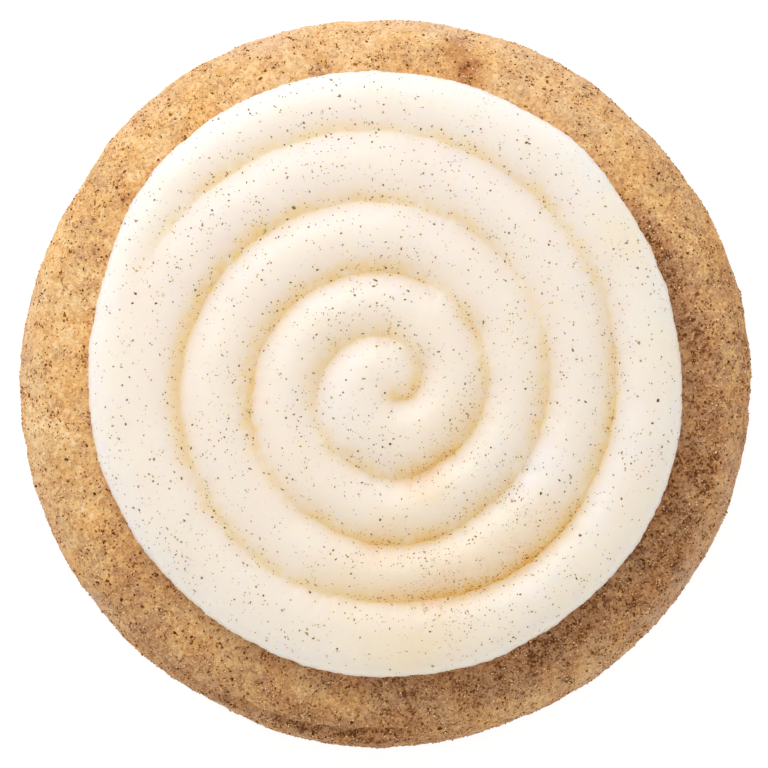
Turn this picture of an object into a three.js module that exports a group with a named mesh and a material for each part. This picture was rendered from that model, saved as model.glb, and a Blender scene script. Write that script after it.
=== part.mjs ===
// A frosted snickerdoodle: a thick, soft, round cookie with one flat swirl of piped cream frosting on top.
// Millimetres, +Z up. The origin is the middle of the flat underside. Angles run from +X towards +Y.

import * as THREE from "three";

const { degToRad, lerp, smoothstep } = THREE.MathUtils;
const FULL_TURN = 2 * Math.PI;
const DEGREES_PER_TURN = 360;

// Cookie: the profile from the middle of the top, over the shoulder, to the foot
const COOKIE_RADIUS = 50;
const COOKIE_HEIGHT = 15;
const DOME_RADIUS = 43; // the top is a shallow dome out to here
const DOME_DROP = 2.2; // fall of the dome from its middle to its edge
const SHOULDER_REACH = 2.5; // how far the top carries on outward before it turns down
const SHOULDER_STAND = 4.5; // how far the side stands up above its widest line
const WAIST_HEIGHT = 5; // the side is widest here
const FOOT_RADIUS = 48.4; // edge of the flat underside
const FOOT_CORNER = 0.5; // height of the corner that the side rounds in towards

// Cookie: where the dough spread a little more or less, in degrees and millimetres outward
const RIM_LOBES = [
  { at: 3, half: 20, out: 0.28 },
  { at: 42, half: 14, out: -0.22 },
  { at: 80, half: 13, out: -0.3 },
  { at: 122, half: 14, out: 0.36 },
  { at: 152, half: 10, out: -0.34 },
  { at: 203, half: 7, out: 0.25 },
  { at: 242, half: 9, out: -0.2 },
  { at: 263, half: 10, out: 0.2 },
  { at: 292, half: 12, out: -0.25 },
  { at: 315, half: 8, out: -0.25 },
];
const LOBES_FROM_RADIUS = 30;
const LOBES_FULL_RADIUS = 46;

// Cookie: the uneven baked crust, flat under the frosting and at the foot
const CRUST_RELIEF = 0.3;
const CRUST_SIDE_SHARE = 0.4; // the side is smoother than the top
const CRUST_WAVES = 9;
const CRUST_LONGEST_WAVE = 19;
const CRUST_SHORTEST_WAVE = 7.5;
const CRUST_HEADING_STEP = 2.4; // turn in radians from each wave's heading to the next
const CRUST_PITCH_STEP = 1.3; // the same for how much a wave climbs
const CRUST_FROM_RADIUS = 41;
const CRUST_FULL_RADIUS = 45;
const CRUST_FULL_HEIGHT = 3;

// Cookie: a crease just inside the rim, where the edge slumped as it baked
const CREASE_ANGLE = 258;
const CREASE_HALF_SPREAD = 24;
const CREASE_RADIUS = 47.9;
const CREASE_HALF_WIDTH = 0.7;
const CREASE_DEPTH = 0.45;

// Cookie: mesh steps along the profile and around it
const DOME_STEPS = 9;
const SHOULDER_STEPS = 15;
const FOOT_STEPS = 4;
const BASE_STEPS = 2;
const COOKIE_SEGMENTS = 96;

// Frosting: one rope of piped cream laid as a swirl from the eye outward
const FROSTING_RADIUS = 40.1;
const FROSTING_MIDDLE = { x: 0.27, y: 0.35 };
const FROSTING_HEIGHT = 7; // ridge of the rope above the cookie's top
const FROSTING_CLEARANCE = 0.3; // hairline between the frosting and the cookie
const EDGE_ROLL = 4.5; // width over which the outer coil rounds down
const EDGE_ROLL_SHARE = 0.55; // the most of the outer coil's width that rounds down
const EDGE_WAIST = 2.8; // height above the cookie where the outer coil is widest
const EDGE_TUCK = 1.3; // how far the outer coil turns in under itself

// Frosting: small unevenness of the outer coil, in degrees and millimetres outward
const FROSTING_LOBES = [
  { at: 10, half: 12, out: -0.35 },
  { at: 52, half: 7, out: 0.42 },
  { at: 173, half: 8, out: 0.3 },
  { at: 193, half: 7, out: 0.35 },
  { at: 235, half: 14, out: -0.4 },
  { at: 290, half: 8, out: 0.25 },
  { at: 332, half: 14, out: 0.4 },
];

// Frosting: the end of the rope, laid outside the last coil and smeared into it
const TAIL_OUT = 2.3;
const TAIL_FROM = 32;
const TAIL_FULL = 116;
const TAIL_ENDS = 132;
const TAIL_GONE = 172;

// Frosting: the groove between the coils, by turns from the eye
const ROPE_PITCH = 9;
const EYE = { x: 0.27, y: -1.38 };
const GROOVE_START_RADIUS = 4.77;
const GROOVE_DEPTH = 2.6;
const GROOVE_FROM_TURN = -0.2;
const GROOVE_FULL_TURN = -0.06;
const GROOVE_FADES_TURN = 3.34;
const GROOVE_GONE_TURN = 3.48;
const HOOK_IN = 2.42; // the groove's inner end hooks in towards the eye
const HOOK_FROM_TURN = -0.153;
const HOOK_DONE_TURN = 0.11;
const DRIFT_PER_TURN = 0.375; // the coils drift sideways as the hand moves outward
const DRIFT_ANGLE = 136;

// Frosting: wobble of the hand along the groove, in turns and millimetres outward
const HAND_WOBBLES = [
  { at: 0.27, half: 0.12, out: 0.3 },
  { at: 0.82, half: 0.06, out: -0.5 },
  { at: 1.42, half: 0.13, out: -0.5 },
  { at: 1.76, half: 0.05, out: 0.55 },
  { at: 2.02, half: 0.09, out: -0.5 },
  { at: 2.73, half: 0.04, out: -0.4 },
  { at: 2.88, half: 0.05, out: 0.5 },
  { at: 3.26, half: 0.08, out: 0.28 },
];

// Frosting: mesh steps
const FROSTING_ROWS = 96;
const GROOVE_STEPS_PER_TURN = 180;
const ROPE_STEPS = [0.09, 0.24, 0.5, 0.76, 0.91]; // places across a coil, from groove to groove
const MIDDLE_STEP = 1.7; // spacing of points inside the first groove and on a wide coil's top
const ROLL_STEPS = 5;
const TUCK_STEPS = 3;
const UNDERSIDE_STEPS = 3;

// A smooth rise that is 1 in the middle, a half at halfWidth and 0 at twice that.
function bump(offset, halfWidth) {
  const share = Math.abs(offset) / (2 * halfWidth);
  return share < 1 ? Math.cos((share * Math.PI) / 2) ** 2 : 0;
}

function degreesBetween(a, b) {
  const difference = (((a - b) % DEGREES_PER_TURN) + DEGREES_PER_TURN) % DEGREES_PER_TURN;
  return difference > DEGREES_PER_TURN / 2 ? difference - DEGREES_PER_TURN : difference;
}

function sumOfLobes(lobes, degrees) {
  return lobes.reduce((sum, lobe) => sum + lobe.out * bump(degreesBetween(degrees, lobe.at), lobe.half), 0);
}

function degreesOf(x, y) {
  return (Math.atan2(y, x) / FULL_TURN) * DEGREES_PER_TURN;
}

// Height of the cookie's smooth dome, which the frosting lies on.
function domeHeight(x, y) {
  return COOKIE_HEIGHT - DOME_DROP * ((x * x + y * y) / DOME_RADIUS ** 2);
}

function cookieProfile() {
  const domeEdge = COOKIE_HEIGHT - DOME_DROP;
  const edgeSlope = (2 * DOME_DROP) / DOME_RADIUS;
  const path = new THREE.Path();
  path.moveTo(0, COOKIE_HEIGHT);
  path.quadraticCurveTo(DOME_RADIUS / 2, COOKIE_HEIGHT, DOME_RADIUS, domeEdge);
  path.bezierCurveTo(
    DOME_RADIUS + SHOULDER_REACH,
    domeEdge - SHOULDER_REACH * edgeSlope,
    COOKIE_RADIUS,
    WAIST_HEIGHT + SHOULDER_STAND,
    COOKIE_RADIUS,
    WAIST_HEIGHT,
  );
  path.quadraticCurveTo(COOKIE_RADIUS, FOOT_CORNER, FOOT_RADIUS, 0);
  path.lineTo(0, 0);
  const steps = [DOME_STEPS, SHOULDER_STEPS, FOOT_STEPS, BASE_STEPS];
  const points = [new THREE.Vector2(0, COOKIE_HEIGHT)];
  path.curves.forEach((curve, index) => points.push(...curve.getPoints(steps[index]).slice(1)));
  return points.reverse();
}

// Waves that cross in many directions, each a little shorter than the last, give a lumpy crust.
function crustRelief(point) {
  let sum = 0;
  for (let wave = 0; wave < CRUST_WAVES; wave += 1) {
    const heading = wave * CRUST_HEADING_STEP;
    const climb = Math.sin(wave * CRUST_PITCH_STEP);
    const length = lerp(CRUST_LONGEST_WAVE, CRUST_SHORTEST_WAVE, wave / (CRUST_WAVES - 1));
    const along = point.x * Math.cos(heading) + point.y * Math.sin(heading) + point.z * climb;
    sum += Math.sin((FULL_TURN * along) / length + wave * wave);
  }
  const fade = smoothstep(Math.hypot(point.x, point.y), CRUST_FROM_RADIUS, CRUST_FULL_RADIUS);
  return (CRUST_RELIEF * fade * sum) / Math.sqrt(CRUST_WAVES);
}

function rimCrease(point) {
  const offset = Math.hypot(point.x, point.y) - CREASE_RADIUS;
  const spread = bump(degreesBetween(degreesOf(point.x, point.y), CREASE_ANGLE), CREASE_HALF_SPREAD);
  return -CREASE_DEPTH * spread * bump(offset, CREASE_HALF_WIDTH);
}

function cookieGeometry() {
  const geometry = new THREE.LatheGeometry(cookieProfile(), COOKIE_SEGMENTS);
  geometry.rotateX(Math.PI / 2);
  const positions = geometry.getAttribute("position");
  const normals = geometry.getAttribute("normal");
  const point = new THREE.Vector3();
  const normal = new THREE.Vector3();
  for (let index = 0; index < positions.count; index += 1) {
    point.fromBufferAttribute(positions, index);
    normal.fromBufferAttribute(normals, index);
    const radius = Math.hypot(point.x, point.y);
    const onTop = point.z > WAIST_HEIGHT ? rimCrease(point) : 0;
    const share = lerp(CRUST_SIDE_SHARE, 1, smoothstep(normal.z, 0, 1));
    const relief = (crustRelief(point) * share + onTop) * smoothstep(point.z, 0, CRUST_FULL_HEIGHT);
    const lobes = sumOfLobes(RIM_LOBES, degreesOf(point.x, point.y));
    const spread = 1 + (lobes * smoothstep(radius, LOBES_FROM_RADIUS, LOBES_FULL_RADIUS)) / COOKIE_RADIUS;
    point.addScaledVector(normal, relief);
    positions.setXYZ(index, point.x * spread, point.y * spread, point.z);
  }
  geometry.computeVertexNormals();
  return geometry;
}

// Radius of the groove from the eye, by turns.
function grooveRadius(turn) {
  const drift = DRIFT_PER_TURN * turn * Math.cos(FULL_TURN * turn - degToRad(DRIFT_ANGLE));
  const hook = HOOK_IN * (1 - smoothstep(turn, HOOK_FROM_TURN, HOOK_DONE_TURN));
  const wobble = HAND_WOBBLES.reduce((sum, w) => sum + w.out * bump(turn - w.at, w.half), 0);
  return GROOVE_START_RADIUS + ROPE_PITCH * turn + drift - hook + wobble;
}

function grooveStrength(turn) {
  const fadeIn = smoothstep(turn, GROOVE_FROM_TURN, GROOVE_FULL_TURN);
  return fadeIn * (1 - smoothstep(turn, GROOVE_FADES_TURN, GROOVE_GONE_TURN));
}

function grooveLine() {
  const line = [];
  const steps = Math.round((GROOVE_GONE_TURN - GROOVE_FROM_TURN) * GROOVE_STEPS_PER_TURN);
  for (let step = 0; step <= steps; step += 1) {
    const turn = lerp(GROOVE_FROM_TURN, GROOVE_GONE_TURN, step / steps);
    const radius = grooveRadius(turn);
    line.push({
      x: EYE.x + radius * Math.cos(FULL_TURN * turn),
      y: EYE.y + radius * Math.sin(FULL_TURN * turn),
      strength: grooveStrength(turn),
    });
  }
  return line;
}

// How far the rope's round back has fallen at a distance from the groove.
function ropeFall(distance) {
  const halfRope = ROPE_PITCH / 2;
  const ropeRadius = (halfRope ** 2 + GROOVE_DEPTH ** 2) / (2 * GROOVE_DEPTH);
  const fromRidge = Math.max(halfRope - distance, 0);
  return ropeRadius - Math.sqrt(ropeRadius ** 2 - fromRidge ** 2);
}

// Height of the frosting's ridges and grooves, before the outer coil rounds down.
function frostingHeight(x, y, line) {
  const fall = line.reduce((deepest, groove) => {
    const distance = Math.hypot(x - groove.x, y - groove.y);
    return Math.max(deepest, groove.strength * ropeFall(distance));
  }, 0);
  return domeHeight(x, y) + FROSTING_HEIGHT - fall;
}

function frostingEdge(degrees) {
  const rise = Math.min((degrees - TAIL_FROM) / (TAIL_FULL - TAIL_FROM), 1);
  const tail = TAIL_OUT * Math.max(rise, 0) * (1 - smoothstep(degrees, TAIL_ENDS, TAIL_GONE));
  const radius = FROSTING_RADIUS + tail + sumOfLobes(FROSTING_LOBES, degrees);
  return {
    x: FROSTING_MIDDLE.x + radius * Math.cos(degToRad(degrees)),
    y: FROSTING_MIDDLE.y + radius * Math.sin(degToRad(degrees)),
  };
}

// Radii along one ray from the eye: even steps to the first groove, then each coil from groove to groove.
function coilRadii(turnOfRay, rollFrom) {
  const grooves = [];
  for (let turn = turnOfRay - 1; turn <= GROOVE_GONE_TURN; turn += 1) {
    if (turn >= GROOVE_FROM_TURN && grooveRadius(turn) < rollFrom) {
      grooves.push(grooveRadius(turn));
    }
  }
  const radii = [];
  const addEvenly = (from, to) => {
    const steps = Math.max(Math.round((to - from) / MIDDLE_STEP), 1);
    for (let step = 1; step < steps; step += 1) {
      radii.push(lerp(from, to, step / steps));
    }
  };
  grooves.forEach((groove, index) => {
    if (index === 0) {
      addEvenly(0, groove);
    } else {
      radii.push(...ROPE_STEPS.map((share) => lerp(grooves[index - 1], groove, share)));
    }
    radii.push(groove);
  });
  addEvenly(grooves.at(-1), rollFrom);
  return radii;
}

// The outer coil rounds down over this width, less where the rope's end lies close outside the groove.
function rollWidth(turnOfRay, edgeRadius) {
  const lastTurn = turnOfRay + Math.floor(GROOVE_GONE_TURN - turnOfRay);
  const room = (edgeRadius - grooveRadius(lastTurn)) * EDGE_ROLL_SHARE;
  return lerp(EDGE_ROLL, Math.min(EDGE_ROLL, room), grooveStrength(lastTurn));
}

// One row of points: from the eye over the coils, down the outer side, and back along the underside.
function frostingRow(degrees, line) {
  const edge = frostingEdge(degrees);
  const ray = Math.atan2(edge.y - EYE.y, edge.x - EYE.x);
  const turnOfRay = (ray / FULL_TURN + 1) % 1;
  const edgeRadius = Math.hypot(edge.x - EYE.x, edge.y - EYE.y);
  const roll = rollWidth(turnOfRay, edgeRadius);
  const at = (radius) => [EYE.x + radius * Math.cos(ray), EYE.y + radius * Math.sin(ray)];
  const waist = domeHeight(edge.x, edge.y) + EDGE_WAIST;
  const row = [];
  const add = (radius, height) => row.push(new THREE.Vector3(...at(radius), height));

  add(0, frostingHeight(EYE.x, EYE.y, line));
  for (const radius of coilRadii(turnOfRay, edgeRadius - roll)) {
    add(radius, frostingHeight(...at(radius), line));
  }
  for (let step = 0; step <= ROLL_STEPS; step += 1) {
    const angle = (step / ROLL_STEPS) * (Math.PI / 2);
    const radius = edgeRadius - roll * (1 - Math.sin(angle));
    add(radius, lerp(waist, frostingHeight(...at(radius), line), Math.cos(angle)));
  }
  for (let step = 1; step <= TUCK_STEPS; step += 1) {
    const angle = (step / TUCK_STEPS) * (Math.PI / 2);
    const radius = edgeRadius - EDGE_TUCK * (1 - Math.cos(angle));
    const lowest = domeHeight(...at(radius)) + FROSTING_CLEARANCE;
    add(radius, lerp(waist, lowest, Math.sin(angle)));
  }
  for (let step = 1; step <= UNDERSIDE_STEPS; step += 1) {
    const radius = (edgeRadius - EDGE_TUCK) * (1 - step / UNDERSIDE_STEPS);
    add(radius, domeHeight(...at(radius)) + FROSTING_CLEARANCE);
  }
  return row;
}

// Joins two neighbouring rows with triangles, always across the shorter diagonal.
function zipRows(first, second, triangles) {
  let a = 0;
  let b = 0;
  while (a < first.length - 1 || b < second.length - 1) {
    const lastA = a === first.length - 1;
    const lastB = b === second.length - 1;
    const stepA = lastA ? Infinity : first[a + 1].distanceTo(second[b]);
    const stepB = lastB ? Infinity : first[a].distanceTo(second[b + 1]);
    if (stepA <= stepB) {
      triangles.push(first[a], first[a + 1], second[b]);
      a += 1;
    } else {
      triangles.push(first[a], second[b + 1], second[b]);
      b += 1;
    }
  }
}

function frostingGeometry() {
  const line = grooveLine();
  const rows = [];
  for (let row = 0; row < FROSTING_ROWS; row += 1) {
    rows.push(frostingRow((row / FROSTING_ROWS) * DEGREES_PER_TURN, line));
  }
  const triangles = [];
  rows.forEach((row, index) => zipRows(row, rows[(index + 1) % FROSTING_ROWS], triangles));
  const geometry = new THREE.BufferGeometry().setFromPoints(triangles);
  geometry.computeVertexNormals();
  return geometry;
}

function namedMesh(name, geometry, color, roughness) {
  const mesh = new THREE.Mesh(geometry, new THREE.MeshStandardMaterial({ color, roughness, metalness: 0 }));
  mesh.name = name;
  return mesh;
}

const snickerdoodle = new THREE.Group();
snickerdoodle.add(namedMesh("cookie", cookieGeometry(), "#d9ab76", 0.9));
snickerdoodle.add(namedMesh("frosting", frostingGeometry(), "#f6ead6", 0.55));

export default snickerdoodle;
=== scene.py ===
"""Looks of a frosted snickerdoodle.

It is a thick soft cookie rolled in cinnamon sugar, with a swirl of cream frosting piped on top.
Sizes are in millimetres and repeat those of the solids; meshes are made in metres.
Angles run from +X towards +Y, in degrees unless a comment says radians or a name says turns.
"""

import math

import bpy
import numpy as np
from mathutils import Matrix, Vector, noise


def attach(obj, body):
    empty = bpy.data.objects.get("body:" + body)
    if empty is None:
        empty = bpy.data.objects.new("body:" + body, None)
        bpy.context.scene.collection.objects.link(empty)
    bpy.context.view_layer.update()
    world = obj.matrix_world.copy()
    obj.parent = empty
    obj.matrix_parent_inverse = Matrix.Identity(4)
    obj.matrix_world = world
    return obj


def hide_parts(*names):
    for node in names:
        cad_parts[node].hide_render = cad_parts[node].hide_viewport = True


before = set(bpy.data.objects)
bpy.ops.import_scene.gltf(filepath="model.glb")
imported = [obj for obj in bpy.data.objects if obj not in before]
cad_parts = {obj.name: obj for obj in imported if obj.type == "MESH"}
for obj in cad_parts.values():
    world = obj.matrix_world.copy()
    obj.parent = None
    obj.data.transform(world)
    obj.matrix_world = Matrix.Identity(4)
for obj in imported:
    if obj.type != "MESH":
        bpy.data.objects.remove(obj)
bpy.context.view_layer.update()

MM = 0.001
FULL_TURN = 2 * math.pi
SMALLEST_DISTANCE = 1e-6  # keeps a division away from 0
SMALLEST_AREA = 1e-12

# Cookie: the profile from the middle of the top, over the shoulder, to the foot
COOKIE_RADIUS = 50
COOKIE_HEIGHT = 15
DOME_RADIUS = 43
DOME_DROP = 2.2
SHOULDER_REACH = 2.5
SHOULDER_STAND = 4.5
WAIST_HEIGHT = 5
FOOT_RADIUS = 48.4
FOOT_CORNER = 0.5
COVERED_RADIUS = 37  # inside this the frosting hides the cookie
CRUMB_FULL_RADIUS = 39  # from here outward the crumbs have their full height

# Cookie: where the dough spread a little more or less (angle, half width, millimetres outward)
RIM_LOBES = (
    (3, 20, 0.28),
    (42, 14, -0.22),
    (80, 13, -0.3),
    (122, 14, 0.36),
    (152, 10, -0.34),
    (203, 7, 0.25),
    (242, 9, -0.2),
    (263, 10, 0.2),
    (292, 12, -0.25),
    (315, 8, -0.25),
)
LOBES_FROM_RADIUS = 30
LOBES_FULL_RADIUS = 46

# Cookie: relief of the crust, from broad waves down to single crumbs
CRUST_RELIEF = 0.3
CRUST_SIDE_SHARE = 0.4
CRUST_WAVES = 9
CRUST_LONGEST_WAVE = 19
CRUST_SHORTEST_WAVE = 7.5
CRUST_HEADING_STEP = 2.4  # radians from one wave to the next
CRUST_PITCH_STEP = 1.3  # radians from one wave to the next
CRUST_FROM_RADIUS = 41
CRUST_FULL_RADIUS = 45
CRUST_FULL_HEIGHT = 3
CRUMB_RELIEF = ((3.2, 0.16), (1.3, 0.13), (0.62, 0.08))  # (size across, height)
CRUMB_INSET = 0.15  # crumbs that stand proud bring the rim back to its size
PIT_SIZE = 1.5
PIT_LEVEL = 0.33
PIT_DEPTH = 0.9

# Cookie: a crease just inside the rim, which moves away from it, and a short open crack
CREASE_ANGLES = (226, 276)
CREASE_RADII = (49.4, 47.5)
CREASE_FADE = 0.2  # share of its length at each end
CREASE_WAVER = ((2.5, 0.5),)  # unevenness of its line (size across, sideways)
CREASE_HALF_WIDTH = 0.4
CREASE_DEPTH = 1.0
# Painted shade: the crease is also made browner, as shade in it
CREASE_PAINTED_SHADE = 0.14
CRACK_POINTS = ((34.0, -23.6), (35.6, -25.0), (36.3, -25.2), (37.0, -26.3))
CRACK_HALF_WIDTH = 0.32
CRACK_DEPTH = 0.5

# Cookie: browning, from 0 for pale dough to 1 for dark toast, deeper underneath; it is also darker on the
# side away from the lamp, which is partly painted shade
BROWNING = 0.455
# Painted shade: the lean makes the ring browner towards the side away from the lamp, partly in place of its
# shading there
BROWNING_AND_SHADE_LEAN = 0.185
BROWNING_AND_SHADE_LEAN_ANGLE = 305
BROWN_BLOTCHES = ((4.2, 0.12), (1.9, 0.13), (0.9, 0.09))  # (size across, how much)
PATCH_EDGE_SIZE = 1.7  # ragged edges on the patches
PATCH_EDGE_REACH = 1.1
PATCH_FADE_HEIGHTS = (5, 9)
FOOT_BROWNING = 0.35
FOOT_BROWN_HEIGHT = 4
# Some of the bands are painted shade, as marked below
BROWN_BANDS = (  # (angle, half spread, radius, half width, how much browner; below 0 is paler)
    (0, 8, 47.5, 1.5, -0.1),
    (5, 9, 49.4, 1.1, 0.1),
    (17, 12, 41.6, 1.8, 0.27),
    (20, 7, 46.8, 1.2, 0.1),
    (29, 6, 41.2, 1.2, 0.25),
    (33, 12, 44, 3.0, -0.12),
    (64, 12, 46, 2.4, -0.07),
    (125, 12, 49.4, 1.1, 0.12),
    (141, 6, 45.8, 2.0, 0.08),
    (149, 7, 46, 4.0, 0.1),
    (182, 20, 49, 1.6, -0.08),
    (183, 14, 42.5, 2.0, -0.1),
    (190, 8, 41.6, 1.2, 0.1),
    (195, 14, 45.5, 4.0, -0.08),
    (219, 6, 43.6, 1.3, 0.1),
    (228, 9, 48, 2.0, 0.08),
    (230, 6, 45.2, 1.4, 0.1),
    (238, 8, 42, 1.8, -0.16),
    # painted shade along the crease inside the rim
    (242, 14, 49.4, 1.1, 0.06),
    (250, 6, 43.4, 1.2, 0.14),
    (256, 8, 42.6, 1.6, -0.12),
    (258, 7, 44, 1.3, -0.17),
    (264, 14, 49, 1.5, 0.15),
    (271, 8, 49, 1.3, 0.09),
    (298, 9, 44, 2.2, 0.08),
    (300, 18, 48.5, 1.8, -0.22),
    # painted shadow of the frosting on the ring, darkest at its inner edge
    (318, 42, 41.5, 3.0, 0.18),
    (318, 12, 42, 2.0, -0.07),
    (320, 9, 48.6, 1.5, 0.1),
    (331, 9, 46, 1.8, 0.14),
    (332, 8, 48.5, 1.2, -0.12),
    (350, 7, 45.2, 1.3, 0.08),
    (354, 12, 43.6, 2.4, 0.13),
)
BROWN_PATCHES = (  # (angle, radius, size, how much)
    (38, 48, 1.2, 0.2),
    (60, 43.5, 1.4, -0.15),
    (75, 44.2, 1.8, 0.2),
    (78, 46.6, 1.4, 0.15),
    (81, 45.0, 1.2, 0.12),
    (87, 48.5, 1.6, -0.1),
    (100, 43.4, 1.3, 0.12),
    (101, 43.6, 1.6, 0.15),
    (110, 45.4, 1.3, 0.12),
    (111, 43.2, 1.4, -0.25),
    (113, 45.8, 1.6, 0.1),
    (130, 44, 1.4, 0.2),
    (136, 46.5, 1.2, -0.08),
    (141, 43.2, 1.4, -0.1),
    (152, 46.5, 1.5, 0.15),
    (157, 43, 1.6, 0.12),
    (198, 46, 1.5, 0.12),
    (217, 44, 1.8, 0.1),
    (225, 47.5, 1.4, 0.15),
    (232, 45, 1.5, -0.12),
    (243, 48.8, 1.5, 0.12),
)

# Cookie: spots of burnt sugar (angle, radius, size, how much), and bands laid out as the brown ones
CARAMEL_SPOTS = (
    (83.5, 48.8, 0.45, 1),
    (86.5, 47.9, 0.5, 1),
    (101, 44.6, 0.5, 0.6),
    (118, 47.9, 0.5, 0.6),
)
TOFFEE_SPOTS = (
    (75, 44, 1.8, 0.7),
    (78, 46.6, 1.4, 0.45),
)
PALER_RIM_BANDS = (  # where the rim is paler and greyer pink
    (60, 10, 44.5, 1.8, 0.25),
    (62, 20, 49.2, 1.6, 0.3),
    (85, 8, 49.3, 1.4, 0.35),
    (100, 13, 46, 3.0, 0.14),
    (110, 6, 49.3, 1.4, 0.5),
    (131, 6, 49.3, 1.4, 0.3),
    (171, 8, 49.3, 1.4, 0.25),
    (186, 12, 48, 2.0, 0.12),
    (200, 8, 49.3, 1.4, 0.25),
    (219, 5, 49.3, 1.4, 0.3),
    (240, 9, 49, 1.5, 0.16),
    (322, 22, 49.2, 1.5, 0.28),
)

# Frosting: the rope's outline and sides
FROSTING_RADIUS = 40.1
FROSTING_MIDDLE = (0.27, 0.35)
FROSTING_HEIGHT = 7
FROSTING_SINK = 0.15  # the soft frosting is pressed a little into the crumb
EDGE_ROLL = 4.5
EDGE_ROLL_SHARE = 0.55
EDGE_ROLL_POWER = 3.0  # 2 is a round edge, more is squarer
EDGE_WAIST = 2.8
EDGE_TUCK = 1.3
EDGE_WAVER = ((4.5, 0.14), (1.7, 0.1))  # unevenness of the outline (size across, outward)
FROSTING_WAVER = ((7.0, 0.12), (2.4, 0.055), (1.0, 0.03), (0.55, 0.012))  # of its back (across, height)
SIDE_WAVER = ((0.9, 0.19), (0.5, 0.15))  # small nicks and lumps on its side (size across, outward)
FROSTING_LOBES = (  # (angle, half width, millimetres outward)
    (10, 12, -0.35),
    (30, 8, -0.25),
    (52, 7, 0.42),
    (173, 8, 0.3),
    (193, 7, 0.35),
    (235, 14, -0.25),
    (255, 8, 0.15),
    (290, 8, 0.25),
    (332, 14, 0.4),
)
TAIL_OUT = 2.3  # the rope's smeared end, which stands out between the angles that follow
TAIL_FROM = 32
TAIL_FULL = 116
TAIL_ENDS = 132
TAIL_GONE = 172

# Frosting: the groove between the coils, by turns from the eye
ROPE_PITCH = 9
EYE = (0.27, -1.38)
GROOVE_START_RADIUS = 4.77
GROOVE_DEPTH = 2.5
GROOVE_FILLET = 0.12
SOFT_FILLET = 1.2  # added where the coils have run together and the groove is nearly gone
GROOVE_FROM_TURN = -0.2
GROOVE_FULL_TURN = -0.06
GROOVE_FADES_TURN = 3.32
GROOVE_GONE_TURN = 3.48
GROOVE_WAVER = ((5.0, 0.2), (2.2, 0.14), (0.9, 0.2))  # unevenness of its line (size across, sideways)
HOOK_IN = 2.42
HOOK_FROM_TURN = -0.153
HOOK_DONE_TURN = 0.11
DRIFT_PER_TURN = 0.375
DRIFT_ANGLE = 136
HAND_WOBBLES = (  # (turn, half width in turns, millimetres outward)
    (0.27, 0.12, 0.3),
    (0.77, 0.05, 0.3),
    (0.87, 0.06, -0.3),
    (1.42, 0.13, -0.5),
    (1.76, 0.05, 0.55),
    (1.87, 0.04, -0.35),
    (2.02, 0.09, -0.5),
    (2.745, 0.045, -0.5),
    (2.88, 0.05, 0.52),
    (3.26, 0.08, 0.28),
)
GROOVE_SHALLOWS = (  # (turn, half width in turns, share of the depth that is missing)
    (0.18, 0.045, 0.35),
    (0.3, 0.06, 0.12),
    (0.6, 0.06, 0.34),
    (1.05, 0.025, 0.25),
    (1.15, 0.03, 0.37),
    (1.605, 0.035, 0.32),
    (2.08, 0.05, 0.5),
    (2.22, 0.05, 0.35),
    (2.33, 0.05, 0.12),
    (2.67, 0.08, 0.32),
    (3.1, 0.03, 0.33),
    (3.26, 0.09, 0.42),
)

# Frosting: syrup and cinnamon in the groove, with painted warm shade on the slopes away from the lamp, and
# where they show most (x, y, size, how much)
# Painted shade: the groove stains are set on the slopes that face this way, away from the lamp
SHADED_SLOPE_FACING = -60
SHADED_SLOPE_SIDES = (-0.5, 0.6)  # from slopes that face the lamp to those in its shade, which are fully stained and painted with warm shade
STAIN_WIDTH = 1.8
STAIN_CLIMB = 0.6
STAIN_THIN_WIDTH = 0.3
STAIN_FAR_SHARE = 0.6
STAIN_LUMPS = ((5.0, 1), (1.3, 1), (0.6, 1))  # (size across, how strong)
SYRUP_AND_SHADE = 0.65
SYRUP_AND_SHADE_FALLS = (0.1, 1.2)  # how far the rope has fallen where the syrup and its painted shade start and where they are full
SYRUP_AND_SHADE_EVENNESS = (0.7, 0.9, 0.1)  # (level, how strongly the lumps change it, least)
SYRUP_AND_SHADE_PATCHES = (
    (4.3, 2.2, 1.8, 0.25),
    (4.5, -0.2, 1.8, 0.5),
    (2.4, -2.2, 1.8, 0.25),
    (-5.0, 15.0, 4.0, 0.3),
    (-19.1, 18.0, 6.0, 0.45),
    (-18.5, -1.4, 3.0, 0.4),
    (-26.0, 8.0, 6.0, 0.2),
    (17.0, 17.0, 5.0, -0.45),
    (7.2, 12.5, 3.0, -0.35),
    (17.3, 29.9, 3.0, -0.3),
    (19.6, -11.3, 3.5, -0.3),
    (-9.5, -2.5, 4.0, -0.4),
)
RUST_WIDTH = 1.4
RUST_FAR_WIDTH = 0.5
RUST_FAR_SHARE = 0.15
RUST_EVENNESS = (0.85, 0.4, 0.3)
RUST_PATCHES = (
    (0, -30.3, 3.0, 0.45),
    (8.5, -29.8, 4.0, 0.8),
    (15.0, -27.3, 4.5, 1.0),
    (21.0, -23.6, 3.0, 0.65),
    (25.5, -19.5, 2.5, 0.55),
    (31.8, -11.0, 2.5, 0.6),
    (32.3, -5.5, 2.0, 0.5),
    (-1.2, -22.3, 2.5, 0.5),
    (6.0, -21.6, 2.0, 0.7),
    (12.0, -18.4, 2.5, 0.4),
    (4.8, -12.6, 2.4, 0.5),
    (9.0, -10.0, 2.4, 0.6),
    (4.0, -1.0, 1.6, 0.15),
)

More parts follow.
